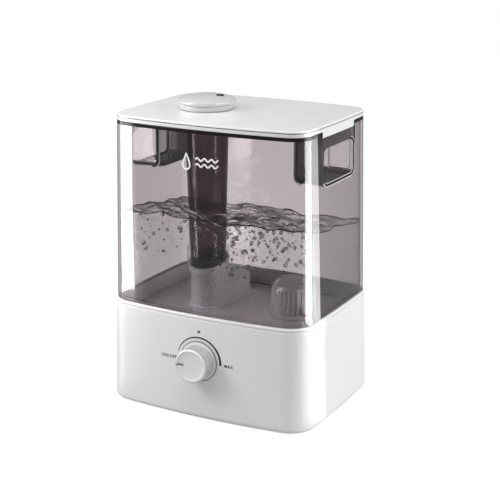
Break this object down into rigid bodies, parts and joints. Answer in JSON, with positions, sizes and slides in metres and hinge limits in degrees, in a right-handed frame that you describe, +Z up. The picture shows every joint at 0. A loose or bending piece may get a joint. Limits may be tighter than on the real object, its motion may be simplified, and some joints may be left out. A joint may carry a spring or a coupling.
{
  "type": "cool mist humidifier",
  "caption": "Box-shaped ultrasonic humidifier: white base with a front dial, smoky lift-off water tank with side finger pockets, flat lid and turning mist nozzle.",
  "frame": {"origin": "on the floor under the middle of the whole machine's box, knob included", "axes": "+Z up; the front with the dial faces -Y; +X to the right of the front"},
  "size_m": [0.2232, 0.1908, 0.3039],
  "materials": {
    "white_plastic": "white ABS, glossy with a faint satin on the lid",
    "smoky_tank": "smoky grey-mauve transparent plastic, polished",
    "dark_smoky_tube": "dark smoky transparent plastic, polished",
    "frosted_plastic": "frosted translucent plastic",
    "black_rubber": "matte",
    "grey_silicone": "satin silicone",
    "steel": "zinc-plated steel",
    "aluminium": "extruded, plain",
    "brass": "bare metal",
    "circuit_board": "green lacquered laminate",
    "black_plastic": "black moulded plastic",
    "light_lens": "smoked clear lens, unlit"
  },
  "bodies": {
    "base": {"base_housing": "white_plastic", "base_deck": "white_plastic", "bottom_cover": "white_plastic", "foot_front_right": "black_rubber", "foot_rear_right": "black_rubber", "foot_rear_left": "black_rubber", "foot_front_left": "black_rubber", "cover_screw_1": "steel", "cover_screw_2": "steel", "cover_screw_3": "steel", "cover_screw_4": "steel", "cover_screw_5": "steel", "cover_screw_6": "steel", "knob_bezel": "white_plastic", "potentiometer": "black_plastic", "power_light": "light_lens", "power_inlet": "black_plastic", "transducer_seal": "black_rubber", "transducer_disc": "brass", "transducer_holder": "aluminium", "transducer_screw_1": "steel", "transducer_screw_2": "steel", "transducer_screw_3": "steel", "float_guide": "white_plastic", "valve_opener_pin": "white_plastic", "fan_frame": "black_plastic", "fan_screw_1": "steel", "fan_screw_2": "steel", "air_duct": "white_plastic", "driver_board": "circuit_board", "board_screw_1": "steel", "board_screw_2": "steel", "heat_sink": "aluminium", "board_capacitor": "black_plastic", "board_coil": "brass"},
    "knob": {"knob": "white_plastic", "dial_shaft": "steel"},
    "float": {"float": "white_plastic"},
    "fan_rotor": {"fan_rotor": "black_plastic"},
    "tank": {"tank_shell": "smoky_tank", "tank_floor": "smoky_tank", "mist_chamber": "frosted_plastic", "tube_seal": "black_rubber", "mist_tube": "dark_smoky_tube", "filter_cap": "frosted_plastic", "valve_housing": "white_plastic", "valve_spring": "steel"},
    "valve_plunger": {"valve_plunger": "white_plastic", "valve_seal": "black_rubber"},
    "lid": {"lid_panel": "white_plastic", "lid_seal": "grey_silicone", "nozzle_collar": "white_plastic"},
    "nozzle": {"mist_nozzle": "white_plastic"}
  },
  "joints": [
    {"name": "tank_lift", "type": "slide", "parent": "base", "child": "tank", "axis": [0, 0, 1], "range_m": [0, 0.06]},
    {"name": "lid_lift", "type": "slide", "parent": "tank", "child": "lid", "axis": [0, 0, 1], "range_m": [0, 0.04]},
    {"name": "nozzle_turn", "type": "hinge", "parent": "lid", "child": "nozzle", "pos_m": [-0.036, 0.0036, 0.297], "axis": [0, 0, 1], "continuous": true},
    {"name": "knob_turn", "type": "hinge", "parent": "base", "child": "knob", "pos_m": [0, -0.0824, 0.061], "axis": [0, 1, 0], "range_deg": [0, 180]},
    {"name": "valve_lift", "type": "slide", "parent": "tank", "child": "valve_plunger", "axis": [0, 0, 1], "range_m": [0, 0.003], "stiffness_N_per_m": 120, "springref_m": -0.006, "deforming": ["valve_spring"]},
    {"name": "float_rise", "type": "slide", "parent": "base", "child": "float", "axis": [0, 0, 1], "range_m": [0, 0.0075]},
    {"name": "fan_spin", "type": "hinge", "parent": "base", "child": "fan_rotor", "pos_m": [-0.036, 0.0556, 0.022], "axis": [0, 0, 1], "continuous": true}
  ]
}
